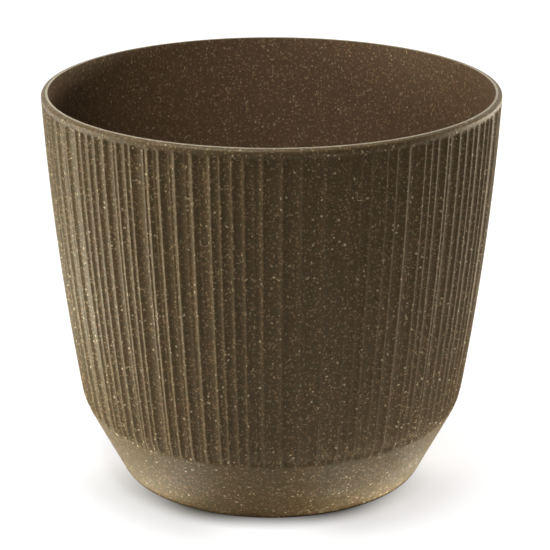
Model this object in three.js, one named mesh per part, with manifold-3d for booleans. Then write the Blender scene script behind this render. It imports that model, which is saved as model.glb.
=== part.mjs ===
// Round fluted flower pot, injection moulded in a wood-fibre plastic composite.
// Units are millimetres, +Z is up, and the origin is the centre of the foot ring on the ground.
//
// The pot is one moulding: a slightly bowed wall with upright flutes of uneven width, a knuckle,
// a plain cone below it, and a floor held off the ground by a foot ring. The drain hole in the
// floor is closed by a soft plug that lies flush and lifts out from inside.

import * as THREE from 'three';
import { mergeVertices } from 'three/addons/utils/BufferGeometryUtils.js';
import Module from 'manifold-3d';

const wasm = await Module();
wasm.setup();

// Pot outline
const RIM_DIAMETER = 190;
const POT_HEIGHT = 165.5;
const KNUCKLE_DIAMETER = 163;
const KNUCKLE_HEIGHT = 33;
const FOOT_DIAMETER = 129.6;
const WALL_BOW = 1.9; // how far the wall stands proud of a straight line from knuckle to rim
const WALL_THICKNESS = 2.8;
const RIM_OUTER_EASE = 1.9;
const RIM_INNER_EASE = 0.35;
const KNUCKLE_BLEND = 1.5; // how much of the wall's and cone's radius the smooth blend takes in
const KNUCKLE_BEND_HALF = 3; // height each side of the knuckle over which the inside bends

// Floor and foot
const FOOT_RING_HEIGHT = 4;
const FOOT_RING_WIDTH = 3.2;
const FOOT_EDGE_EASE = 0.8;
const FLOOR_THICKNESS = 2.6;
const FLOOR_CORNER = 5; // inside fillet between floor and cone

// Flute widths in millimetres along the rim, going right from the left side of the pot over its
// front. The run covers half the pot and is repeated for the other half.
const FLUTE_WIDTHS = [
  6.1, 4.6, 8.3, 3.5, 7.3, 6.0, 7.3, 9.1, 8.1, 3.8, 4.6, 4.3, 5.1, 7.1, 4.1, 2.7, 8.0, 5.0, 6.6, 7.1,
  7.0, 3.8, 4.6, 4.6, 7.0, 7.5, 7.5, 9.1, 9.4, 4.6, 4.1, 6.5, 4.3, 5.5, 7.8, 3.5, 3.5, 5.3, 7.6, 5.0,
  5.0, 4.1, 6.0, 5.1, 4.6, 9.4, 4.6, 7.8, 5.3, 3.4, 5.9,
];
const FLUTE_RUNS = 2;
const FLANK_SHARE = 0.38; // of a flute's width, on each side
const FLANK_WIDEST = 1.6;
const FLANK_SLOPE = 0.68; // rise over run of a flank
const FLUTE_END = 1.8; // height over which a flute comes up to the plain surface
const RIM_BAND = 2.2; // plain height between the flutes and the rim's edge
const FLUTES_BELOW_KNUCKLE = 2.8; // how far the flutes run down past the knuckle

// Drain plug and its seat
const PLUG_FLANGE_RADIUS = 11;
const PLUG_FLANGE_THICKNESS = 1.6;
const PLUG_SHANK_TOP_RADIUS = 8.2;
const PLUG_SHANK_TAPER = 0.5; // lost in radius from the flange to the nose
const PLUG_NOSE_HEIGHT = 1.4; // of the nose above the ground
const PLUG_NOSE_EASE = 0.8;
const PLUG_WALL = 1.5;
const GRIP_BAR_WIDTH = 2.6;
const GRIP_BAR_DEPTH = 2.2;
const PLUG_CLEARANCE = 0.3;
const SEAT_BOSS_WALL = 3;
const SEAT_BOSS_DROP = 1.4; // below the underside of the floor

// Faceting
const SMOOTH_SEGMENTS = 96;
const PLUG_SEGMENTS = 32;
const WALL_STEPS = 3;
const RIM_STEPS = 2;
const FILLET_STEPS = 4;
const END_KNEE_HEIGHT = 0.3; // a flute's rounded end is two facets that meet at this share of it
const END_KNEE_DEPTH = 0.6; // and at this share of the flute's depth
const CUT_PAST = 1; // how far a cutter runs past the face it opens

const rimRadius = RIM_DIAMETER / 2;
const knuckleRadius = KNUCKLE_DIAMETER / 2;
const footRadius = FOOT_DIAMETER / 2;
const floorTop = FOOT_RING_HEIGHT + FLOOR_THICKNESS;
const seatHeight = floorTop - PLUG_FLANGE_THICKNESS;
const bossBottom = FOOT_RING_HEIGHT - SEAT_BOSS_DROP;

const coneSlope = (knuckleRadius - footRadius) / KNUCKLE_HEIGHT;
const wallRise = POT_HEIGHT - KNUCKLE_HEIGHT;

function wallRadius(z) {
  const t = (z - KNUCKLE_HEIGHT) / wallRise;
  return THREE.MathUtils.lerp(knuckleRadius, rimRadius, t) + 4 * WALL_BOW * t * (1 - t);
}

function wallSlope(z) {
  const t = (z - KNUCKLE_HEIGHT) / wallRise;
  return (rimRadius - knuckleRadius + 4 * WALL_BOW * (1 - 2 * t)) / wallRise;
}

function coneRadius(z) {
  return footRadius + coneSlope * z;
}

// The smaller of two radii, rounded over where they cross.
function blendedSmaller(a, b) {
  const overlap = Math.max(KNUCKLE_BLEND - Math.abs(a - b), 0) / KNUCKLE_BLEND;
  return Math.min(a, b) - (overlap * overlap * KNUCKLE_BLEND) / 4;
}

function outerRadius(z) {
  return blendedSmaller(wallRadius(z), coneRadius(z));
}

// Inside of the wall and cone, one wall thickness in from the outside.
function innerRadius(z) {
  const insideWall = wallRadius(z) - WALL_THICKNESS * Math.hypot(1, wallSlope(z));
  const insideCone = coneRadius(z) - WALL_THICKNESS * Math.hypot(1, coneSlope);
  return blendedSmaller(insideWall, insideCone);
}

// Each flute gives three columns: the crest where it starts, and the two edges of its floor.
function fluteColumns() {
  const runLength = FLUTE_WIDTHS.reduce((sum, width) => sum + width, 0);
  const anglePerMm = (2 * Math.PI) / (runLength * FLUTE_RUNS);
  const columns = [];
  let crest = Math.PI;
  for (let run = 0; run < FLUTE_RUNS; run += 1) {
    for (const width of FLUTE_WIDTHS) {
      const flank = Math.min(FLANK_WIDEST, FLANK_SHARE * width);
      const depth = flank * FLANK_SLOPE;
      columns.push({ angle: crest, depth: 0 });
      columns.push({ angle: crest + flank * anglePerMm, depth });
      columns.push({ angle: crest + (width - flank) * anglePerMm, depth });
      crest += width * anglePerMm;
    }
  }
  return columns;
}

// Closed solid through level rings that all have the same number of points.
function loftThroughRings(rings) {
  const count = rings[0].length;
  const points = rings.flat();
  const faces = [];
  for (let level = 0; level + 1 < rings.length; level += 1) {
    for (let i = 0; i < count; i += 1) {
      const a = level * count + i;
      const b = level * count + ((i + 1) % count);
      faces.push(a, b, b + count, a, b + count, a + count);
    }
  }
  const bottomCentre = points.push(new THREE.Vector3(0, 0, rings[0][0].z)) - 1;
  const topCentre = points.push(new THREE.Vector3(0, 0, rings.at(-1)[0].z)) - 1;
  const topStart = (rings.length - 1) * count;
  for (let i = 0; i < count; i += 1) {
    const next = (i + 1) % count;
    faces.push(bottomCentre, next, i);
    faces.push(topCentre, topStart + i, topStart + next);
  }
  const geometry = new THREE.BufferGeometry().setFromPoints(points);
  geometry.setIndex(faces);
  return geometry;
}

function solidFromGeometry(geometry) {
  const bare = geometry.clone();
  bare.deleteAttribute('normal');
  bare.deleteAttribute('uv');
  const merged = mergeVertices(bare, 1e-4);
  return new wasm.Manifold(
    new wasm.Mesh({
      numProp: 3,
      vertProperties: merged.attributes.position.array,
      triVerts: new Uint32Array(merged.index.array),
    }),
  );
}

function geometryFromSolid(solid) {
  const mesh = solid.getMesh();
  const geometry = new THREE.BufferGeometry();
  geometry.setAttribute('position', new THREE.BufferAttribute(mesh.vertProperties, 3));
  geometry.setIndex(new THREE.BufferAttribute(mesh.triVerts, 1));
  geometry.computeVertexNormals();
  return geometry;
}

// Solid of revolution about Z from [radius, z] pairs that start and end on the axis, going up.
function revolve(profile, segments) {
  const points = profile.map(([radius, z]) => new THREE.Vector2(radius, z));
  return solidFromGeometry(new THREE.LatheGeometry(points, segments).rotateX(Math.PI / 2));
}

// The whole outside. Each level gives a height, how deep the flutes are there as a share of their
// full depth, and how far the ring is drawn in at a rounded edge.
function outerBody() {
  const fluteTop = POT_HEIGHT - RIM_BAND;
  const fluteBottom = KNUCKLE_HEIGHT - FLUTES_BELOW_KNUCKLE;
  const floorFrom = fluteBottom + FLUTE_END;
  const floorTo = fluteTop - FLUTE_END;
  const levels = [
    { z: 0, share: 0, inset: FOOT_EDGE_EASE },
    { z: FOOT_EDGE_EASE, share: 0, inset: 0 },
    { z: fluteBottom, share: 0, inset: 0 },
    { z: fluteBottom + FLUTE_END * END_KNEE_HEIGHT, share: END_KNEE_DEPTH, inset: 0 },
    { z: floorFrom, share: 1, inset: 0 },
  ];
  for (let step = 0; step <= WALL_STEPS; step += 1) {
    const z = THREE.MathUtils.lerp(floorFrom + FLUTES_BELOW_KNUCKLE, floorTo, step / WALL_STEPS);
    levels.push({ z, share: 1, inset: 0 });
  }
  levels.push({ z: fluteTop - FLUTE_END * END_KNEE_HEIGHT, share: END_KNEE_DEPTH, inset: 0 });
  levels.push({ z: fluteTop, share: 0, inset: 0 });
  for (let step = 0; step <= RIM_STEPS; step += 1) {
    const angle = ((Math.PI / 2) * step) / RIM_STEPS;
    const z = POT_HEIGHT - RIM_OUTER_EASE * (1 - Math.sin(angle));
    levels.push({ z, share: 0, inset: RIM_OUTER_EASE * (1 - Math.cos(angle)) });
  }
  const columns = fluteColumns();
  const rings = levels.map(({ z, share, inset }) =>
    columns.map(({ angle, depth }) => {
      const radius = outerRadius(z) - depth * share - inset;
      return new THREE.Vector3(radius * Math.cos(angle), radius * Math.sin(angle), z);
    }),
  );
  return solidFromGeometry(loftThroughRings(rings));
}

// What the pot holds: the space inside the wall, open at the rim.
function cavity() {
  const lean = Math.atan(coneSlope);
  const cornerRadius = innerRadius(floorTop) - FLOOR_CORNER * Math.tan((Math.PI / 2 - lean) / 2);
  const profile = [[0, floorTop]];
  for (let step = 0; step <= FILLET_STEPS; step += 1) {
    const angle = THREE.MathUtils.lerp(-Math.PI / 2, -lean, step / FILLET_STEPS);
    profile.push([
      cornerRadius + FLOOR_CORNER * Math.cos(angle),
      floorTop + FLOOR_CORNER * (1 + Math.sin(angle)),
    ]);
  }
  const bendStart = KNUCKLE_HEIGHT - KNUCKLE_BEND_HALF;
  const bendEnd = KNUCKLE_HEIGHT + KNUCKLE_BEND_HALF;
  const mouth = innerRadius(POT_HEIGHT) + RIM_INNER_EASE;
  profile.push([innerRadius(bendStart), bendStart]);
  for (let step = 0; step <= WALL_STEPS; step += 1) {
    const z = THREE.MathUtils.lerp(bendEnd, POT_HEIGHT - RIM_INNER_EASE, step / WALL_STEPS);
    profile.push([innerRadius(z), z]);
  }
  profile.push([mouth, POT_HEIGHT], [mouth, POT_HEIGHT + CUT_PAST], [0, POT_HEIGHT + CUT_PAST]);
  return revolve(profile, SMOOTH_SEGMENTS);
}

// The hollow under the floor that leaves the foot ring.
function footRecess() {
  const ringInside = footRadius - FOOT_EDGE_EASE - FOOT_RING_WIDTH;
  return revolve(
    [
      [0, -CUT_PAST],
      [ringInside, -CUT_PAST],
      [ringInside, 0],
      [ringInside - FOOT_EDGE_EASE, FOOT_RING_HEIGHT],
      [0, FOOT_RING_HEIGHT],
    ],
    SMOOTH_SEGMENTS,
  );
}

function seatBoss() {
  const bossRadius = PLUG_FLANGE_RADIUS + PLUG_CLEARANCE + SEAT_BOSS_WALL;
  return revolve(
    [
      [0, bossBottom],
      [bossRadius - SEAT_BOSS_DROP / 2, bossBottom],
      [bossRadius, FOOT_RING_HEIGHT],
      [bossRadius, seatHeight],
      [0, seatHeight],
    ],
    PLUG_SEGMENTS,
  );
}

function shankRadius(z) {
  const t = (seatHeight - z) / (seatHeight - PLUG_NOSE_HEIGHT);
  return PLUG_SHANK_TOP_RADIUS - PLUG_SHANK_TAPER * t;
}

// Hole for the shank and a countersunk step for the flange, both wider by the clearance.
function seatHole() {
  const holeBottom = bossBottom - CUT_PAST;
  return revolve(
    [
      [0, holeBottom],
      [shankRadius(holeBottom) + PLUG_CLEARANCE, holeBottom],
      [shankRadius(seatHeight) + PLUG_CLEARANCE, seatHeight],
      [PLUG_FLANGE_RADIUS + PLUG_CLEARANCE, seatHeight],
      [PLUG_FLANGE_RADIUS + PLUG_CLEARANCE, floorTop + CUT_PAST],
      [0, floorTop + CUT_PAST],
    ],
    PLUG_SEGMENTS,
  );
}

function potShell() {
  const shell = outerBody().subtract(cavity()).subtract(footRecess());
  return geometryFromSolid(shell.add(seatBoss()).subtract(seatHole()));
}

// A cup with a flange that lies flush in the floor, and a bar across its mouth to pull it by.
function drainPlug() {
  const nose = PLUG_NOSE_HEIGHT;
  const cup = revolve(
    [
      [0, nose],
      [shankRadius(nose) - PLUG_NOSE_EASE, nose],
      [shankRadius(nose), nose + PLUG_NOSE_EASE],
      [shankRadius(seatHeight), seatHeight],
      [PLUG_FLANGE_RADIUS, seatHeight],
      [PLUG_FLANGE_RADIUS, floorTop],
      [shankRadius(seatHeight) - PLUG_WALL, floorTop],
      [shankRadius(nose) - PLUG_WALL, nose + PLUG_WALL],
      [0, nose + PLUG_WALL],
    ],
    PLUG_SEGMENTS,
  );
  const barLength = 2 * shankRadius(seatHeight) - PLUG_WALL;
  const bar = new THREE.BoxGeometry(GRIP_BAR_WIDTH, barLength, GRIP_BAR_DEPTH);
  bar.translate(0, 0, floorTop - GRIP_BAR_DEPTH / 2);
  return geometryFromSolid(cup.add(solidFromGeometry(bar)));
}

const composite = new THREE.MeshStandardMaterial({ color: 0x4f4230, roughness: 0.72, metalness: 0 });
const softPlug = new THREE.MeshStandardMaterial({ color: 0x2b2622, roughness: 0.85, metalness: 0 });

const pot = new THREE.Group();

const shell = new THREE.Mesh(potShell(), composite);
shell.name = 'pot_shell';
pot.add(shell);

const plug = new THREE.Mesh(drainPlug(), softPlug);
plug.name = 'drain_plug';
pot.add(plug);

export default pot;
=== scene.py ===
import math

import bpy
import numpy as np
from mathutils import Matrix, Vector


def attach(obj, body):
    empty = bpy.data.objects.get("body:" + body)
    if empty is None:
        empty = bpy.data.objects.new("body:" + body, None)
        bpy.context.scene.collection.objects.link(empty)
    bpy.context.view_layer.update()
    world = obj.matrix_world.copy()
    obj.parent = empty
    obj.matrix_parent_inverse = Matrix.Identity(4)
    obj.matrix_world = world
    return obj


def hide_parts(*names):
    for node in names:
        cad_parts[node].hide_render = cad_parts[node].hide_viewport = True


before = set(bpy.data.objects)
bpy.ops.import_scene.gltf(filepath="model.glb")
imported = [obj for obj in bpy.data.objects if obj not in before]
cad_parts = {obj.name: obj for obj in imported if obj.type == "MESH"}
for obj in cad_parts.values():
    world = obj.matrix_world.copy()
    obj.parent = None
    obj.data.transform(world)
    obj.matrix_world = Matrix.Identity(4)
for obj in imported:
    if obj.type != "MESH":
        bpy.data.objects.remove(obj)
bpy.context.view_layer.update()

# Millimetres and degrees, unless a comment says otherwise
MM = 0.001

# Pot outline
RIM_RADIUS = 94.93
POT_HEIGHT = 165.5
KNUCKLE_RADIUS = 81.5
KNUCKLE_HEIGHT = 33.0
FOOT_RADIUS = 64.8
WALL_BOW = 1.9
WALL_THICKNESS = 2.8
KNUCKLE_BLEND = 1.5
POT_SHARP_ANGLE = 38
EVEN_COLUMNS = 240

# Rim: rounded on the outside, then a land that slopes up to a crisp inner edge
RIM_BAND = 2.2
RIM_ROUND = 1.0
RIM_ROUND_START = 4
RIM_ROUND_STEPS = 10
RIM_LAND_SLOPE = 14
RIM_INNER_EASE = 0.22
RIM_INNER_STEPS = 6

# Foot and floor
FOOT_EDGE_EASE = 0.8
FOOT_ROUND_INSET = 0.9
FOOT_ROUND_WIDTH = 0.95
FOOT_ROUND_HEIGHT = 0.62
FOOT_ROUND_STEPS = (0.05, 0.25, 0.6)
FOOT_RING_HEIGHT = 4.0
FOOT_RING_WIDTH = 3.2
FLOOR_THICKNESS = 2.6
FLOOR_CORNER = 5.0
FLOOR_CORNER_STEPS = 10
FLOOR_RING_RADII = (50, 38, 26, 16)
UNDERSIDE_RING_RADII = (25, 40, 52)
# Inner side of the foot ring, downwards: out from the ring's inner radius, up from the ground
FOOT_RING_INSIDE = (
    (-1.4, FOOT_RING_HEIGHT),
    (-0.8, FOOT_RING_HEIGHT - 0.4),
    (-0.2, 0.5),
    (0.2, 0.1),
    (0.6, 0.0),
)

# Flutes, measured along the rim from the left side of the pot over its front
FLUTE_WIDTHS = [
    6.1, 4.6, 8.3, 3.5, 7.3, 6.0, 7.3, 9.1, 8.1, 3.8, 4.6, 4.3, 5.1, 7.1, 4.1, 2.7, 8.0, 5.0, 6.6, 7.1,
    7.0, 3.8, 4.6, 4.6, 7.0, 7.5, 7.5, 9.1, 9.4, 4.6, 4.1, 6.5, 4.3, 5.5, 7.8, 3.5, 3.5, 5.3, 7.6, 5.0,
    5.0, 4.1, 6.0, 5.1, 4.6, 9.4, 4.6, 7.8, 5.3, 3.4, 5.9,
]
FLUTE_RUNS = 2
FIRST_CREST = math.pi  # radians
FLANK_SHARE = 0.32
FLANK_WIDEST = 1.8
FLANK_SLOPE = 0.66
FLANK_COLUMNS = (0.0, 0.12, 0.28, 0.5, 0.75, 1.0)
CREST_ROUNDING = 0.5
CORNER_ROUNDING = 2.0
FLUTES_BELOW_KNUCKLE = 4.0
FLUTE_FADE = 3.2
FLUTE_TOP = POT_HEIGHT - RIM_BAND
FLUTE_BOTTOM = KNUCKLE_HEIGHT - FLUTES_BELOW_KNUCKLE
# Low ridges inside the wider flutes: degrees from the front, as read on the front half, and how
# high they stand; a groove is a ridge below zero
MINOR_RIDGES = (
    (-61.0, 0.34), (-40.2, 0.34), (-31.1, 0.36), (-28.2, 0.30), (-24.2, 0.30), (-20.2, 0.26),
    (-16.8, 0.26), (-4.0, 0.25), (3.2, -0.95), (9.4, 0.25), (15.6, 0.25), (22.9, -0.35),
    (25.3, 0.30), (35.9, 0.34), (47.3, 0.34), (70.6, 0.34),
)
RIDGE_SPREAD = 0.38
GROOVE_SPREAD = 0.7
RIDGE_COLUMNS = (-2, -1, 0, 1, 2)
RIDGE_OFF_FLANK = 0.6

# Heights of the mesh rings, as stretches with a start, an end and a number of rings
PLAIN_CONE_RINGS = ((1.4, FLUTE_BOTTOM - 0.8, 10), (FLUTE_BOTTOM - 0.3, FLUTE_BOTTOM - 0.3, 1))
FLUTED_RINGS = (
    (FLUTE_BOTTOM, FLUTE_BOTTOM + FLUTE_FADE, 15),
    (FLUTE_BOTTOM + FLUTE_FADE + 0.4, KNUCKLE_HEIGHT + 6, 10),
    (KNUCKLE_HEIGHT + 10, FLUTE_TOP - 4.0, 16),
    (FLUTE_TOP - 2.6, FLUTE_TOP, 13),
)
INSIDE_RINGS = ((POT_HEIGHT - 3, KNUCKLE_HEIGHT + 6, 22), (KNUCKLE_HEIGHT + 4, KNUCKLE_HEIGHT - 6, 9))

# Plug and its seat
PLUG_FLANGE_RADIUS = 11.0
PLUG_FLANGE_THICKNESS = 1.6
PLUG_SHANK_TOP_RADIUS = 8.2
PLUG_SHANK_TAPER = 0.5
PLUG_NOSE_HEIGHT = 1.4
PLUG_NOSE_ROUND = 0.8
PLUG_NOSE_STEPS = 4
PLUG_NOSE_FLAT_INSET = 4.0
PLUG_NOSE_DISH = 0.1
PLUG_WALL = 1.5
PLUG_WELL_FLAT_RADIUS = 2.0
PLUG_EDGE_EASE = 0.2
PLUG_TOP_EASE = 0.35
PLUG_TOP_EASE_MIDDLE = 0.1
PLUG_WELL_EASE = 0.3
# Foot of the shank and corner of the well: out from their lower radius, up from their bottom
PLUG_SHANK_FOOT = (0.3, 2.0)
PLUG_WELL_CORNER = ((0.1, 0.6), (-0.4, 0.0))
PLUG_SHARP_ANGLE = 50
PLUG_COLUMNS = 96
GRIP_BAR_WIDTH = 2.6
GRIP_BAR_DEPTH = 2.2
GRIP_BAR_DROP = 0.05
GRIP_BAR_END_GAP = 0.6
GRIP_BAR_BEVEL = 0.5
GRIP_BAR_BEVEL_STEPS = 3
PLUG_CLEARANCE = 0.3
SEAT_EDGE_EASE = 0.3
SEAT_BORE_TAPER = 0.25
SEAT_BOSS_WALL = 3.0
SEAT_BOSS_DROP = 1.4

# Wood composite. Colours are linear. A noise is its scale, detail and roughness. A surface's
# roughness is its least value and what the noise adds, and a bump is its strength and height.
BASE_NOISE = (90, 3.0, 0.6)
BASE_FADE = (0.3, 0.7)
BASE_DARK = (0.080, 0.051, 0.020)
BASE_LIGHT = (0.090, 0.059, 0.023)
FINE_NOISE = (1100, 3.0, 0.65)
# Patches over the base tone: noise, the part of it that fades in, how much shows, colour
TONE_PATCHES = (
    ((300, 2.0, 0.6), (0.42, 0.66), 0.60, (0.114, 0.057, 0.025)),
    ((700, 2.0, 0.6), (0.44, 0.66), 0.50, (0.140, 0.090, 0.039)),
    (FINE_NOISE, (0.46, 0.72), 0.45, (0.150, 0.102, 0.046)),
)
# Painted bounce light: how much of a redder tint is laid over the inward faces, and its colour
INSIDE_PAINTED_BOUNCE_SHOWN = 0.40
INSIDE_PAINTED_BOUNCE_COLOUR = (0.155, 0.080, 0.056)
RAGGED_NOISE = (1400, 1.0, 0.5)
RAGGED_AMOUNT = 0.9
GRAIN_SMALLEST = 0.5
GRAIN_SOFT_EDGE = 0.3
# Grains: cell, share of the cells that hold one, radius, how much shows, colour
SAWDUST = (
    ((1.4, 0.65, 0.62), 0.55, (0.044, 0.030, 0.014)),  # dark bark
    ((1.3, 0.85, 0.62), 0.60, (0.24, 0.106, 0.048)),  # warm
    ((1.3, 0.75, 0.58), 0.46, (0.28, 0.203, 0.104)),  # pale
    ((1.5, 0.65, 0.54), 0.52, (0.42, 0.31, 0.18)),  # small and paler
)
CREAM_GRAINS = (2.5, 0.50, 0.60)
CREAM_SHOWN = 0.74
CREAM_LESS_INSIDE = 0.35
CREAM = (0.70, 0.56, 0.37)
# Splinters: long grains, with how their cells are turned (radians) and squeezed
SPLINTER_GRAINS = (1.5, 0.30, 0.34)
SPLINTERS = (
    (((0.3, 0.5, 0.9), (1.0, 1.0, 0.30)), 0.55, (0.50, 0.38, 0.22)),
    (((1.2, 0.2, 0.1), (0.30, 1.0, 1.0)), 0.50, (0.44, 0.30, 0.16)),
)
# Curled fibres: cell, share of the cells that hold one, radius, width of the fibre
CURLS = (6.5, 0.22, 1.7, 0.17)
CURL_SOFT_EDGE = 0.4
CURL_NOISE = (520, 0.0, 0.5)
CURL_PART = (0.58, 0.64)
CURL_SHOWN = 0.70
CURL_COLOUR = (0.56, 0.45, 0.28)
CONE_SKIN = 0.28
CONE_SKIN_FADE = 6.0
RIM_WORN_WIDTH = 0.95
RIM_WORN_SOFT = 0.08
RIM_WORN_BELOW_TOP = (0.45, 0.2)
RIM_WORN_SHOWN = 0.45
RIM_WORN_COLOUR = (0.62, 0.54, 0.41)
COMPOSITE_ROUGHNESS = (0.48, 0.16)
COMPOSITE_BUMP = (0.35, 0.12)
BUMP_FROM_FINE = 0.8
BUMP_FROM_CREAM = 0.3
COMPOSITE_IOR = 1.42

# Soft plug
PLUG_NOISE = (300, 3.0, 0.6)
PLUG_FADE = (0.35, 0.7)
PLUG_DARK = (0.030, 0.026, 0.023)
PLUG_LIGHT = (0.050, 0.043, 0.037)
PLUG_FINE_NOISE = (2500, 2.0, 0.6)
PLUG_ROUGHNESS = (0.6, 0.15)
PLUG_BUMP = (0.3, 0.1)

# Studio sweep: how pale it is, and the painted shadow round the front of the foot that the camera sees
SWEEP_SIZE = 6  # metres
SWEEP_DROP = 0.2
SWEEP_GREY = (0.60, 0.60, 0.60)
SWEEP_SHADOW_GREY = (0.20, 0.20, 0.20)
SWEEP_LIFT = 0.93
SWEEP_WHITE = (1.0, 0.988, 1.0)
SWEEP_WHITE_BEHIND_POT = (60.0, 200.0)
# Painted shadow on the sweep: a close dark ring round the foot, a wider one at the sides and more on the
# left, less behind the pot
PAINTED_CONTACT_SHADE_REACH = (61.0, 77.0)
PAINTED_CONTACT_SHADE_TINT = (1.0, 0.975, 0.97)
PAINTED_CONTACT_SHADE_DEPTH = 0.80
PAINTED_CONTACT_SHADE_LESS_AT_SIDES = 0.62
PAINTED_CONTACT_SHADE_SIDES = (15.0, 62.0)
WIDE_PAINTED_SHADE_REACH = (66.0, 105.0)
WIDE_PAINTED_SHADE_SIDES = (4.0, 40.0)
WIDE_PAINTED_SHADE_DEPTH = 0.31
WIDE_PAINTED_SHADE_MORE_ON_LEFT = 0.08
WIDE_PAINTED_SHADE_LEFT = (-20.0, 20.0)
PAINTED_SHADE_LESS_AT_BACK = 0.7
PAINTED_SHADE_BACK = (-45.0, 0.0)
WORLD_LEVEL = 0.159
WORLD_TINT = (1.0, 1.0, 0.82, 1.0)
WORLD_WHITE = (1.0, 1.0, 1.0, 1.0)

# Soft boxes, in metres and watts: place, what it faces, width, height, power, tint and the rays
# that pass it by
AT_WALL = (0, 0, 0.07)
AT_KNUCKLE = (0, 0, 0.035)
AT_RIM = (0, 0, 0.12)
WHITE = (1.0, 1.0, 1.0)
SOFT_BOXES = (
    ("key_low", (-0.864, 0.106, 0.09), AT_WALL, 0.30, 0.15, 3.1, (0.95, 0.99, 0.84), ()),
    ("key_high", (-0.868, -0.061, 0.24), AT_WALL, 0.30, 0.15, 2.3, (1.0, 0.94, 0.72), ()),
    ("near_left", (-0.215, -0.004, 0.02), AT_KNUCKLE, 0.10, 0.04, 0.155, (0.96, 1.0, 0.85), ("camera",)),
    ("near_right", (0.212, 0.038, 0.02), AT_KNUCKLE, 0.10, 0.04, 0.06, (1.0, 0.95, 0.78), ("camera",)),
    ("side_right", (0.782, 0.381, 0.12), AT_WALL, 0.30, 0.22, 5.0, (1.0, 0.93, 0.70), ()),
    ("edge_right", (0.56, 0.66, 0.14), AT_WALL, 0.30, 0.26, 8.0, (1.0, 0.96, 0.84), ("glossy",)),
    ("top_front", (-0.30, -0.45, 0.80), AT_RIM, 0.3, 0.3, 0.6, (1.0, 0.80, 0.50), ()),
    ("overhead", (-0.18, -0.16, 0.67), (0.02, 0.05, 0.12), 0.14, 0.14, 3.0, (0.88, 0.95, 0.95), ()),
    ("fill_back", (0.0, 1.2, 0.45), (0, 0, 0.1), 0.8, 0.5, 4.0, WHITE, ("glossy",)),
    ("backdrop", (0.0, 1.3, 0.45), (0, 0, 0.2), 2.4, 0.8, 9.0, WHITE, ("diffuse",)),
)
# Lit patches on the sweep that throw light up on the cone, in metres and watts: degrees from the
# front, power, tint, and then distance from the pot's axis, width and depth
CARD_HEIGHT = 0.0006
BESIDE_FOOT = (0.075, 0.10, 0.018)
CLOSE_TO_FOOT = (0.0685, 0.026, 0.005)
OUT_ON_SWEEP = (0.155, 0.16, 0.07)
FOOT_TINT = (0.94, 0.93, 0.82)
FLOOR_CARDS = (
    ("bounce_left", -60, 0.040, (0.77, 0.90, 0.97), BESIDE_FOOT),
    ("bounce_right", 50, 0.034, (0.86, 0.93, 0.88), BESIDE_FOOT),
    ("bounce_right_back", 80, 0.088, (0.66, 0.83, 1.0), BESIDE_FOOT),
    ("bounce_front", 16, 0.0047, (1.0, 0.95, 0.75), BESIDE_FOOT),
    ("foot_0", -43, 0.0010, FOOT_TINT, CLOSE_TO_FOOT),
    ("foot_1", -20, 0.0004, FOOT_TINT, CLOSE_TO_FOOT),
    ("foot_2", 2, 0.00025, FOOT_TINT, CLOSE_TO_FOOT),
    ("foot_3", 23, 0.0006, FOOT_TINT, CLOSE_TO_FOOT),
    ("foot_4", 43, 0.0010, FOOT_TINT, CLOSE_TO_FOOT),
    ("floor_left", -60, 0.11, (1.0, 0.95, 0.75), OUT_ON_SWEEP),
    ("floor_right", 55, 0.06, (1.0, 0.90, 0.75), OUT_ON_SWEEP),
)

# Camera, fitted to the photo's outline; its distance and aim are in rim radii
PHOTO_WIDTH_PX = 550
FOCAL_LENGTH_PX = 1970.8
PHOTO_SHIFT_PX = 3.31
SENSOR_WIDTH = 36
CAMERA_ELEVATION = 19.577
CAMERA_DISTANCE = 8.859
CAMERA_AIM_HEIGHT = 0.8729
CAMERA_RIM_RADIUS = 0.095  # metres
CAMERA_CLIP = (0.05, 20)  # metres

floor_top = FOOT_RING_HEIGHT + FLOOR_THICKNESS
seat_height = floor_top - PLUG_FLANGE_THICKNESS
boss_bottom = FOOT_RING_HEIGHT - SEAT_BOSS_DROP
cone_slope = (KNUCKLE_RADIUS - FOOT_RADIUS) / KNUCKLE_HEIGHT
wall_rise = POT_HEIGHT - KNUCKLE_HEIGHT


def wall_radius(z):
    t = (z - KNUCKLE_HEIGHT) / wall_rise
    return KNUCKLE_RADIUS + (RIM_RADIUS - KNUCKLE_RADIUS) * t + 4 * WALL_BOW * t * (1 - t)


def wall_slope(z):
    t = (z - KNUCKLE_HEIGHT) / wall_rise
    return (RIM_RADIUS - KNUCKLE_RADIUS + 4 * WALL_BOW * (1 - 2 * t)) / wall_rise


def cone_radius(z):
    return FOOT_RADIUS + cone_slope * z


def blended_smaller(a, b, blend):
    overlap = np.maximum(blend - np.abs(a - b), 0) / blend
    return np.minimum(a, b) - overlap * overlap * blend / 4


def outer_radius(z):
    return float(blended_smaller(wall_radius(z), cone_radius(z), KNUCKLE_BLEND))


def inner_radius(z):
    wall = wall_radius(z) - WALL_THICKNESS * math.hypot(1, wall_slope(z))
    cone = cone_radius(z) - WALL_THICKNESS * math.hypot(1, cone_slope)
    return float(blended_smaller(wall, cone, KNUCKLE_BLEND))


# The low ridges of every run: angle, height and spread.
def minor_ridges():
    ridges = []
    for run in range(FLUTE_RUNS):
        for degrees, high in MINOR_RIDGES:
            angle = math.radians(degrees - 90) + 2 * math.pi + 2 * math.pi / FLUTE_RUNS * run
            ridges.append((angle, high, RIDGE_SPREAD if high > 0 else GROOVE_SPREAD))
    return ridges


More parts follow.
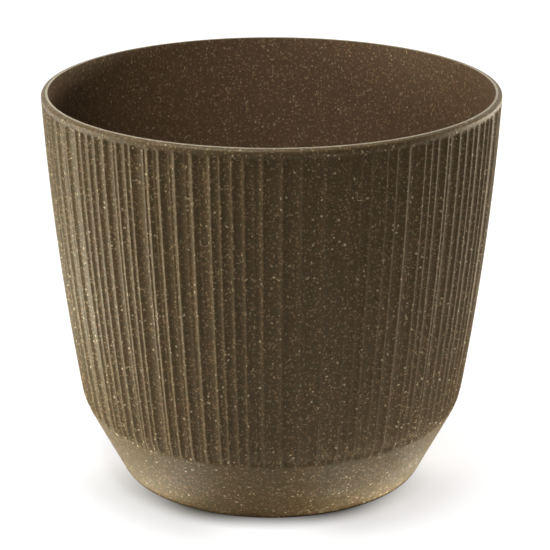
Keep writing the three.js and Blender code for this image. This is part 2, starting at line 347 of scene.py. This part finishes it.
# Columns across the flutes: angle, distance to the nearest crest, flank width, flute width, and
# the height of a low ridge where there is one.
def flute_columns():
    per_mm = 2 * math.pi / (sum(FLUTE_WIDTHS) * FLUTE_RUNS)
    scale = RIM_RADIUS * per_mm
    ridges = minor_ridges()
    columns = []
    crest = FIRST_CREST
    for width in FLUTE_WIDTHS * FLUTE_RUNS:
        flank = min(FLANK_WIDEST, FLANK_SHARE * width)
        offsets = {share * flank for share in FLANK_COLUMNS}
        offsets |= {width - share * flank for share in FLANK_COLUMNS[1:]} | {width / 2}
        for angle, _, spread in ridges:
            middle = (angle - crest) / per_mm
            if 0 < middle < width:
                near = [middle + spread * step for step in RIDGE_COLUMNS]
                margin = flank * RIDGE_OFF_FLANK
                offsets |= {offset for offset in near if margin < offset < width - margin}
        for offset in sorted(offsets):
            bump = 0
            for angle, high, spread in ridges:
                away = ((crest - angle) / per_mm + offset) / spread
                bump += high * math.exp(-(away ** 2) / 2)
            side = min(offset, width - offset)
            columns.append((crest + offset * per_mm, side * scale, flank * scale, width * scale, bump))
        crest += width * per_mm
    return [np.array(values) for values in zip(*columns)]


COLUMN_ANGLE, COLUMN_SIDE, COLUMN_FLANK, COLUMN_WIDTH, COLUMN_BUMP = flute_columns()
EVEN_ANGLES = np.linspace(FIRST_CREST, FIRST_CREST + 2 * math.pi, EVEN_COLUMNS, endpoint=False)
PLUG_ANGLES = np.linspace(0, 2 * math.pi, PLUG_COLUMNS, endpoint=False)


# How deep the flutes are cut at a height, for each column.
def flute_depth(z):
    inside = FLUTE_TOP - z
    fade = min(max((z - FLUTE_BOTTOM) / FLUTE_FADE, 0), 1)
    if inside <= 0 or fade == 0:
        return np.zeros_like(COLUMN_SIDE)
    corner = np.minimum(COLUMN_WIDTH / 2, CORNER_ROUNDING)
    in_corner = (COLUMN_SIDE < corner) & (inside < corner)
    rounded = corner - np.hypot(corner - COLUMN_SIDE, corner - inside)
    edge = np.where(in_corner, np.maximum(rounded, 0), np.minimum(COLUMN_SIDE, inside))
    edge = np.sqrt(edge ** 2 + CREST_ROUNDING ** 2) - CREST_ROUNDING
    across = np.clip(edge / COLUMN_FLANK, 0, 1)
    depth = COLUMN_FLANK * FLANK_SLOPE * (1 - (1 - across) ** 2)
    return np.maximum(depth - COLUMN_BUMP * across ** 2, 0) * fade ** 2 * (3 - 2 * fade)


class Surface:
    """Grows a mesh out of rings round the Z axis."""

    def __init__(self):
        self.points = []
        self.faces = []
        self.last = None
        self.last_angles = None

    def ring(self, radius, z, angles):
        start = len(self.points)
        for r, a in zip(np.broadcast_to(radius, angles.shape), angles):
            self.points.append((r * math.cos(a) * MM, r * math.sin(a) * MM, z * MM))
        new = list(range(start, start + len(angles)))
        if self.last is not None:
            if len(self.last) == len(new):
                self.bridge(self.last, new)
            else:
                self.zip_rings(self.last, self.last_angles, new, angles)
        self.last = new
        self.last_angles = angles

    def rings(self, profile, angles):
        for radius, z in profile:
            self.ring(radius, z, angles)

    def bridge(self, low, high):
        n = len(low)
        for i in range(n):
            j = (i + 1) % n
            self.faces.append((low[i], low[j], high[j], high[i]))

    # Triangles between two rings whose columns differ, taken in order of angle.
    def zip_rings(self, low, low_angles, high, high_angles):
        i = j = 0
        n, m = len(low), len(high)
        while i < n or j < m:
            next_low = low_angles[i + 1] if i + 1 < n else low_angles[0] + 2 * math.pi
            next_high = high_angles[j + 1] if j + 1 < m else high_angles[0] + 2 * math.pi
            a, b = low[i % n], high[j % m]
            if j >= m or (i < n and next_low <= next_high):
                self.faces.append((a, low[(i + 1) % n], b))
                i += 1
            else:
                self.faces.append((a, high[(j + 1) % m], b))
                j += 1

    def start_from_point(self, z, radius, ring_z, angles):
        tip = len(self.points)
        self.points.append((0.0, 0.0, z * MM))
        self.ring(radius, ring_z, angles)
        n = len(self.last)
        for i in range(n):
            self.faces.append((tip, self.last[(i + 1) % n], self.last[i]))

    def close_to_point(self, z):
        tip = len(self.points)
        self.points.append((0.0, 0.0, z * MM))
        n = len(self.last)
        for i in range(n):
            self.faces.append((self.last[i], self.last[(i + 1) % n], tip))

    def build(self, name, sharp_angle):
        mesh = bpy.data.meshes.new(name)
        mesh.from_pydata(self.points, [], self.faces)
        mesh.validate()
        mesh.update()
        for face in mesh.polygons:
            face.use_smooth = True
        mesh.set_sharp_from_angle(angle=math.radians(sharp_angle))
        obj = bpy.data.objects.new(name, mesh)
        bpy.context.scene.collection.objects.link(obj)
        return obj


def arc(centre_r, centre_z, radius, start, end, steps):
    turns = [math.radians(start + (end - start) * i / steps) for i in range(steps + 1)]
    return [(centre_r + radius * math.cos(a), centre_z + radius * math.sin(a)) for a in turns]


def ring_heights(stretches):
    return [z for start, end, count in stretches for z in np.linspace(start, end, count)]


def foot_edge():
    inner = FOOT_RADIUS - FOOT_ROUND_INSET
    profile = [(inner, 0.0)]
    for z in FOOT_ROUND_STEPS:
        turn = math.acos(1 - z / FOOT_ROUND_HEIGHT)
        profile.append((inner + FOOT_ROUND_WIDTH * math.sin(turn) + cone_slope * z / 2, z))
    return profile


def rim_edge():
    mouth = inner_radius(POT_HEIGHT - RIM_INNER_EASE)
    slope = math.radians(RIM_LAND_SLOPE)
    centre_r = wall_radius(POT_HEIGHT - RIM_BAND) - RIM_ROUND
    land_start = centre_r + RIM_ROUND * math.sin(slope)
    land_rise = (land_start - mouth - RIM_INNER_EASE) * math.tan(slope)
    centre_z = POT_HEIGHT - land_rise - RIM_ROUND * math.cos(slope)
    land_turn = 90 - RIM_LAND_SLOPE
    outside = arc(centre_r, centre_z, RIM_ROUND, RIM_ROUND_START, land_turn, RIM_ROUND_STEPS)
    ease = RIM_INNER_EASE
    return outside + arc(mouth + ease, POT_HEIGHT - ease, ease, land_turn, 180, RIM_INNER_STEPS)


def floor_corner():
    lean = math.degrees(math.atan(cone_slope))
    corner = inner_radius(floor_top) - FLOOR_CORNER * math.tan(math.radians((90 - lean) / 2))
    return arc(corner, floor_top + FLOOR_CORNER, FLOOR_CORNER, -lean, -90, FLOOR_CORNER_STEPS)


def plug_seat():
    flange = PLUG_FLANGE_RADIUS + PLUG_CLEARANCE
    shank = PLUG_SHANK_TOP_RADIUS + PLUG_CLEARANCE
    return [
        (flange + SEAT_EDGE_EASE, floor_top),
        (flange, floor_top - SEAT_EDGE_EASE),
        (flange, seat_height),
        (shank, seat_height),
        (shank - SEAT_BORE_TAPER, boss_bottom),
        (flange + SEAT_BOSS_WALL - SEAT_BOSS_DROP / 2, boss_bottom),
        (flange + SEAT_BOSS_WALL, FOOT_RING_HEIGHT),
    ]


def build_pot():
    surface = Surface()
    edge = foot_edge()
    surface.ring(*edge[0], EVEN_ANGLES)
    first = surface.last
    surface.rings(edge[1:], EVEN_ANGLES)
    for z in ring_heights(PLAIN_CONE_RINGS):
        surface.ring(outer_radius(z), z, EVEN_ANGLES)
    for z in ring_heights(FLUTED_RINGS):
        surface.ring(outer_radius(z) - flute_depth(z), z, COLUMN_ANGLE)
    surface.rings(rim_edge(), EVEN_ANGLES)
    for z in ring_heights(INSIDE_RINGS):
        surface.ring(inner_radius(z), z, EVEN_ANGLES)
    surface.rings(floor_corner(), EVEN_ANGLES)
    surface.rings([(r, floor_top) for r in FLOOR_RING_RADII], EVEN_ANGLES)
    surface.rings(plug_seat(), EVEN_ANGLES)
    surface.rings([(r, FOOT_RING_HEIGHT) for r in UNDERSIDE_RING_RADII], EVEN_ANGLES)
    ring_radius = FOOT_RADIUS - FOOT_EDGE_EASE - FOOT_RING_WIDTH
    surface.rings([(ring_radius + out, z) for out, z in FOOT_RING_INSIDE], EVEN_ANGLES)
    surface.bridge(surface.last, first)
    return surface.build("pot_body", POT_SHARP_ANGLE)


def build_plug():
    surface = Surface()
    nose = PLUG_NOSE_HEIGHT
    low = PLUG_SHANK_TOP_RADIUS - PLUG_SHANK_TAPER
    well_bottom = nose + PLUG_WALL
    well_top_radius = PLUG_SHANK_TOP_RADIUS - PLUG_WALL
    surface.start_from_point(nose + PLUG_NOSE_DISH, low - PLUG_NOSE_FLAT_INSET, nose, PLUG_ANGLES)
    turn = PLUG_NOSE_ROUND
    surface.rings(arc(low - turn, nose + turn, turn, -90, 0, PLUG_NOSE_STEPS), PLUG_ANGLES)
    surface.rings(
        (
            (low + PLUG_SHANK_FOOT[0], nose + PLUG_SHANK_FOOT[1]),
            (PLUG_SHANK_TOP_RADIUS, seat_height - PLUG_EDGE_EASE),
            (PLUG_SHANK_TOP_RADIUS + PLUG_EDGE_EASE, seat_height),
            (PLUG_FLANGE_RADIUS - PLUG_EDGE_EASE, seat_height),
            (PLUG_FLANGE_RADIUS, seat_height + PLUG_EDGE_EASE),
            (PLUG_FLANGE_RADIUS, floor_top - PLUG_TOP_EASE),
            (PLUG_FLANGE_RADIUS - PLUG_TOP_EASE_MIDDLE, floor_top - PLUG_TOP_EASE_MIDDLE),
            (PLUG_FLANGE_RADIUS - PLUG_TOP_EASE, floor_top),
            (well_top_radius + PLUG_WELL_EASE, floor_top),
            (well_top_radius, floor_top - PLUG_WELL_EASE),
            *[(low - PLUG_WALL + out, well_bottom + up) for out, up in PLUG_WELL_CORNER],
            (PLUG_WELL_FLAT_RADIUS, well_bottom),
        ),
        PLUG_ANGLES,
    )
    surface.close_to_point(well_bottom)
    return surface.build("plug_body", PLUG_SHARP_ANGLE)


def build_grip():
    length = 2 * PLUG_SHANK_TOP_RADIUS - PLUG_WALL - GRIP_BAR_END_GAP
    depth = GRIP_BAR_DEPTH - GRIP_BAR_DROP
    bpy.ops.mesh.primitive_cube_add(size=1)
    bar = bpy.context.object
    bar.name = "plug_grip"
    bar.data.name = "plug_grip"
    bar.scale = (GRIP_BAR_WIDTH * MM, length * MM, depth * MM)
    bar.location = (0, 0, (floor_top - GRIP_BAR_DROP - depth / 2) * MM)
    bpy.ops.object.transform_apply(location=True, scale=True)
    bevel = bar.modifiers.new("ease", "BEVEL")
    bevel.width = GRIP_BAR_BEVEL * MM
    bevel.segments = GRIP_BAR_BEVEL_STEPS
    for face in bar.data.polygons:
        face.use_smooth = True
    return bar


class Nodes:
    """Short way to write a material's node tree."""

    # Numbers of a mix node's colour sockets
    MIX_A, MIX_B, MIX_RESULT = 6, 7, 2

    def __init__(self, name):
        self.material = bpy.data.materials.new(name)
        self.material.use_nodes = True
        self.tree = self.material.node_tree
        self.tree.nodes.clear()

    def add(self, kind, **values):
        node = self.tree.nodes.new(kind)
        for key, value in values.items():
            setattr(node, key, value)
        return node

    def link(self, a, b):
        self.tree.links.new(a, b)

    # Sets a socket to a number or colour, or links what comes out of another node to it.
    def feed(self, socket, value):
        if isinstance(value, (int, float)):
            socket.default_value = value
        elif isinstance(value, tuple):
            socket.default_value = (*value, 1.0)
        else:
            self.link(value, socket)

    def math(self, operation, a, b=None, clamp=False):
        node = self.add("ShaderNodeMath", operation=operation, use_clamp=clamp)
        self.feed(node.inputs[0], a)
        if b is not None:
            self.feed(node.inputs[1], b)
        return node.outputs[0]

    def times(self, a, b):
        return self.math("MULTIPLY", a, b)

    def plus(self, a, b):
        return self.math("ADD", a, b)

    def minus(self, a, b):
        return self.math("SUBTRACT", a, b)

    def step(self, value, low, high):
        node = self.add("ShaderNodeMapRange", interpolation_type="SMOOTHSTEP")
        self.link(value, node.inputs["Value"])
        node.inputs["From Min"].default_value = low
        node.inputs["From Max"].default_value = high
        return node.outputs["Result"]

    # 1 below the low end, 0 above the high one.
    def fall(self, value, low, high):
        return self.minus(1.0, self.step(value, low, high))

    def noise_node(self, vector, scale, detail, rough):
        node = self.add("ShaderNodeTexNoise")
        self.link(vector, node.inputs["Vector"])
        node.inputs["Scale"].default_value = scale
        node.inputs["Detail"].default_value = detail
        node.inputs["Roughness"].default_value = rough
        return node

    def noise(self, vector, *noise):
        return self.noise_node(vector, *noise).outputs["Fac"]

    def mix(self, factor, a, b):
        node = self.add("ShaderNodeMix", data_type="RGBA")
        self.feed(node.inputs["Factor"], factor)
        self.feed(node.inputs[self.MIX_A], a)
        self.feed(node.inputs[self.MIX_B], b)
        return node.outputs[self.MIX_RESULT]

    # A colour laid over another where a mask is 1, as far as it shows.
    def lay(self, under, mask, shown, colour):
        return self.mix(self.times(mask, shown), under, colour)

    # A grid of jittered cells: distance to the middle of the cell, and the cell's random colour.
    def cells(self, vector, cell):
        node = self.add("ShaderNodeTexVoronoi", feature="F1")
        self.link(vector, node.inputs["Vector"])
        node.inputs["Scale"].default_value = 1 / (cell * MM)
        chance = self.add("ShaderNodeSeparateColor")
        self.link(node.outputs["Color"], chance.inputs["Color"])
        return node.outputs["Distance"], chance.outputs

    # Grains: one per cell, kept for a share of the cells.
    def grains(self, vector, cell, share, radius):
        distance, chance = self.cells(vector, cell)
        smallest = radius / cell * GRAIN_SMALLEST
        largest = radius / cell
        reach = self.plus(self.times(chance[1], largest - smallest), smallest)
        mask = self.step(self.minus(reach, distance), 0.0, radius / cell * GRAIN_SOFT_EDGE)
        return self.times(mask, self.math("LESS_THAN", chance[0], share))

    # Curled fibres: part of a thin ring round the middle of some cells.
    def curls(self, vector, cell, share, radius, width):
        distance, chance = self.cells(vector, cell)
        off = self.math("ABSOLUTE", self.minus(distance, radius / cell))
        ring = self.fall(off, width / cell * CURL_SOFT_EDGE, width / cell)
        part = self.step(self.noise(vector, *CURL_NOISE), *CURL_PART)
        return self.times(self.times(ring, part), self.math("LESS_THAN", chance[0], share))

    def turned(self, vector, rotation, scale):
        node = self.add("ShaderNodeMapping")
        node.inputs["Rotation"].default_value = rotation
        node.inputs["Scale"].default_value = scale
        self.link(vector, node.inputs["Vector"])
        return node.outputs["Vector"]

    def vector_math(self, operation, *values):
        node = self.add("ShaderNodeVectorMath", operation=operation)
        for socket, value in zip(node.inputs, values):
            if isinstance(value, tuple):
                socket.default_value = value
            else:
                self.link(value, socket)
        return node

    # The vector shaken by a fine noise, so that grains come out ragged.
    def ragged(self, vector, noise, amount):
        shake = self.noise_node(vector, *noise).outputs["Color"]
        centred = self.vector_math("SUBTRACT", shake, (0.5, 0.5, 0.5))
        reach = (amount * MM, amount * MM, amount * MM)
        return self.vector_math("MULTIPLY_ADD", centred.outputs[0], reach, vector).outputs[0]

    def place(self):
        return self.add("ShaderNodeTexCoord").outputs["Object"]

    # Place on the object in millimetres.
    def place_mm(self):
        parts = self.add("ShaderNodeSeparateXYZ")
        self.link(self.place(), parts.inputs[0])
        return [self.times(part, 1 / MM) for part in parts.outputs]

    # Distance from the pot's axis in millimetres.
    def radius_mm(self):
        flat = self.vector_math("MULTIPLY", self.place(), (1 / MM, 1 / MM, 0.0))
        return self.vector_math("LENGTH", flat.outputs[0]).outputs["Value"]

    # 1 on faces that look in towards the pot's axis.
    def inside_mask(self):
        flat = self.vector_math("MULTIPLY", self.place(), (1.0, 1.0, 0.0))
        normal = self.add("ShaderNodeTexCoord").outputs["Normal"]
        outwards = self.vector_math("DOT_PRODUCT", flat.outputs[0], normal).outputs["Value"]
        return self.math("LESS_THAN", outwards, 0.0)

    # Ends the tree in a plain shader.
    def finish(self, colour, rough, bump, height, ior=None):
        relief = self.add("ShaderNodeBump")
        relief.inputs["Strength"].default_value = bump[0]
        relief.inputs["Distance"].default_value = bump[1] * MM
        self.link(height, relief.inputs["Height"])
        shader = self.add("ShaderNodeBsdfPrincipled")
        self.link(colour, shader.inputs["Base Color"])
        self.link(rough, shader.inputs["Roughness"])
        self.link(relief.outputs["Normal"], shader.inputs["Normal"])
        if ior is not None:
            shader.inputs["IOR"].default_value = ior
        return self.output(shader)

    def output(self, shader):
        out = self.add("ShaderNodeOutputMaterial")
        self.link(shader.outputs[0], out.inputs["Surface"])
        return self.material


def composite_material():
    n = Nodes("wood_composite")
    place = n.place()
    fine = n.noise(place, *FINE_NOISE)
    inside = n.inside_mask()
    colour = n.mix(n.step(n.noise(place, *BASE_NOISE), *BASE_FADE), BASE_DARK, BASE_LIGHT)
    for noise, fade, shown, tone in TONE_PATCHES:
        colour = n.lay(colour, n.step(n.noise(place, *noise), *fade), shown, tone)
    # painted bounce light: faces that look inward get a redder tint standing in for warm light bounced
    # between the inner walls
    ground = n.lay(colour, inside, INSIDE_PAINTED_BOUNCE_SHOWN, INSIDE_PAINTED_BOUNCE_COLOUR)
    # wood: sawdust, cream chips, splinters and curled fibres
    colour = ground
    ragged = n.ragged(place, RAGGED_NOISE, RAGGED_AMOUNT)
    for grains, shown, tone in SAWDUST:
        colour = n.lay(colour, n.grains(ragged, *grains), shown, tone)
    cream = n.grains(ragged, *CREAM_GRAINS)
    colour = n.lay(colour, cream, n.minus(CREAM_SHOWN, n.times(inside, CREAM_LESS_INSIDE)), CREAM)
    for turn, shown, tone in SPLINTERS:
        colour = n.lay(colour, n.grains(n.turned(place, *turn), *SPLINTER_GRAINS), shown, tone)
    colour = n.lay(colour, n.curls(place, *CURLS), CURL_SHOWN, CURL_COLOUR)
    # the smooth cone keeps more of its moulding skin over the grains
    height = n.place_mm()[2]
    skin = n.fall(height, KNUCKLE_HEIGHT - CONE_SKIN_FADE, KNUCKLE_HEIGHT)
    colour = n.lay(colour, skin, CONE_SKIN, ground)
    # worn edge along the inside of the rim
    worn_to = inner_radius(POT_HEIGHT) + RIM_WORN_WIDTH
    worn = n.fall(n.radius_mm(), worn_to - RIM_WORN_SOFT, worn_to + RIM_WORN_SOFT)
    low, high = (POT_HEIGHT - below for below in RIM_WORN_BELOW_TOP)
    colour = n.lay(colour, n.times(worn, n.step(height, low, high)), RIM_WORN_SHOWN, RIM_WORN_COLOUR)
    smoothest, rougher = COMPOSITE_ROUGHNESS
    rough = n.plus(n.times(fine, rougher), smoothest)
    relief = n.plus(n.times(fine, BUMP_FROM_FINE), n.times(cream, BUMP_FROM_CREAM))
    return n.finish(colour, rough, COMPOSITE_BUMP, relief, COMPOSITE_IOR)


def plug_material():
    n = Nodes("soft_plug")
    place = n.place()
    patch = n.noise(place, *PLUG_NOISE)
    colour = n.mix(n.step(patch, *PLUG_FADE), PLUG_DARK, PLUG_LIGHT)
    smoothest, rougher = PLUG_ROUGHNESS
    rough = n.plus(n.times(patch, rougher), smoothest)
    return n.finish(colour, rough, PLUG_BUMP, n.noise(place, *PLUG_FINE_NOISE))


def sweep_material():
    n = Nodes("studio_floor")
    diffuse = n.add("ShaderNodeBsdfDiffuse")
    glow = n.add("ShaderNodeEmission")
    ray = n.add("ShaderNodeLightPath").outputs
    n.link(n.mix(ray["Is Camera Ray"], SWEEP_GREY, SWEEP_SHADOW_GREY), diffuse.inputs["Color"])
    # seen straight on, the sweep is white away from the pot and has a painted shadow round the front of
    # its foot, laid into its glow
    x, y, _ = n.place_mm()
    sideways = n.math("ABSOLUTE", x)
    radius = n.radius_mm()
    painted_contact_shade = n.fall(radius, *PAINTED_CONTACT_SHADE_REACH)
    n.link(n.mix(painted_contact_shade, SWEEP_WHITE, PAINTED_CONTACT_SHADE_TINT), glow.inputs["Color"])
    less = n.times(n.step(sideways, *PAINTED_CONTACT_SHADE_SIDES), PAINTED_CONTACT_SHADE_LESS_AT_SIDES)
    painted_contact_shade = n.times(painted_contact_shade, n.minus(PAINTED_CONTACT_SHADE_DEPTH, less))
    wide_painted_shade = n.times(n.fall(radius, *WIDE_PAINTED_SHADE_REACH), n.step(sideways, *WIDE_PAINTED_SHADE_SIDES))
    wide_painted_shade = n.times(wide_painted_shade, n.plus(n.times(n.fall(x, *WIDE_PAINTED_SHADE_LEFT), WIDE_PAINTED_SHADE_MORE_ON_LEFT), WIDE_PAINTED_SHADE_DEPTH))
    at_front = n.minus(1.0, n.times(n.step(y, *PAINTED_SHADE_BACK), PAINTED_SHADE_LESS_AT_BACK))
    painted_shade = n.times(n.plus(painted_contact_shade, wide_painted_shade), at_front)
    seen = n.times(ray["Is Camera Ray"], n.math("SUBTRACT", SWEEP_LIFT, painted_shade, clamp=True))
    # reflected at a glancing angle, the sweep behind the pot is as white as it looks
    behind = n.times(n.step(y, *SWEEP_WHITE_BEHIND_POT), ray["Is Glossy Ray"])
    n.link(n.plus(seen, behind), glow.inputs["Strength"])
    both = n.add("ShaderNodeAddShader")
    n.link(diffuse.outputs[0], both.inputs[0])
    n.link(glow.outputs[0], both.inputs[1])
    return n.output(both)


def build_world():
    world = bpy.data.worlds.new("studio")
    bpy.context.scene.world = world
    world.use_nodes = True
    tree = world.node_tree
    tree.nodes.clear()
    out = tree.nodes.new("ShaderNodeOutputWorld")
    seen = tree.nodes.new("ShaderNodeBackground")
    lit = tree.nodes.new("ShaderNodeBackground")
    seen.inputs["Color"].default_value = WORLD_WHITE
    lit.inputs["Color"].default_value = WORLD_TINT
    lit.inputs["Strength"].default_value = WORLD_LEVEL
    path = tree.nodes.new("ShaderNodeLightPath")
    mix = tree.nodes.new("ShaderNodeMixShader")
    tree.links.new(path.outputs["Is Camera Ray"], mix.inputs["Fac"])
    tree.links.new(lit.outputs[0], mix.inputs[1])
    tree.links.new(seen.outputs[0], mix.inputs[2])
    tree.links.new(mix.outputs[0], out.inputs["Surface"])


def build_sweep():
    bpy.ops.mesh.primitive_plane_add(size=SWEEP_SIZE, location=(0, 0, -SWEEP_DROP * MM))
    floor = bpy.context.object
    floor.name = "studio_floor"
    floor.data.materials.append(sweep_material())


def soft_box(name, place, target, width, height, watts, tint, hidden_from):
    light = bpy.data.lights.new(name, "AREA")
    light.shape = "RECTANGLE"
    light.size = width
    light.size_y = height
    light.energy = watts
    light.color = tint
    obj = bpy.data.objects.new(name, light)
    obj.location = place
    way = Vector(target) - Vector(place)
    obj.rotation_euler = way.to_track_quat("-Z", "Y").to_euler()
    for kind in hidden_from:
        setattr(obj, "visible_" + kind, False)
    bpy.context.scene.collection.objects.link(obj)
    return obj


def floor_card(name, azimuth, watts, tint, spot):
    reach, width, depth = spot
    turn = math.radians(azimuth)
    place = Vector((reach * math.sin(turn), -reach * math.cos(turn), CARD_HEIGHT))
    above = place + Vector((0, 0, 1))
    card = soft_box(name, place, above, width, depth, watts, tint, ("camera", "glossy"))
    card.rotation_euler = (math.pi, 0, turn)


def build_camera():
    data = bpy.data.cameras.new("camera")
    cam = bpy.data.objects.new("camera", data)
    bpy.context.scene.collection.objects.link(cam)
    data.sensor_width = SENSOR_WIDTH
    data.lens = FOCAL_LENGTH_PX * SENSOR_WIDTH / PHOTO_WIDTH_PX
    data.shift_x = PHOTO_SHIFT_PX / PHOTO_WIDTH_PX
    data.clip_start, data.clip_end = CAMERA_CLIP
    elevation = math.radians(CAMERA_ELEVATION)
    aim = Vector((0, 0, CAMERA_AIM_HEIGHT * CAMERA_RIM_RADIUS))
    back = Vector((0, -math.cos(elevation), math.sin(elevation)))
    cam.location = aim + back * (CAMERA_DISTANCE * CAMERA_RIM_RADIUS)
    cam.rotation_euler = (-back).to_track_quat("-Z", "Y").to_euler()
    bpy.context.scene.camera = cam


composite = composite_material()
rubber = plug_material()

pot = build_pot()
pot.data.materials.append(composite)
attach(pot, "pot")
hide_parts("pot_shell")

for piece in (build_plug(), build_grip()):
    piece.data.materials.append(rubber)
    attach(piece, "plug")
    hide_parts("drain_plug")

build_world()
build_sweep()
for box in SOFT_BOXES:
    soft_box(*box)
for card in FLOOR_CARDS:
    floor_card(*card)
build_camera()
bpy.context.scene.view_settings.view_transform = "Standard"
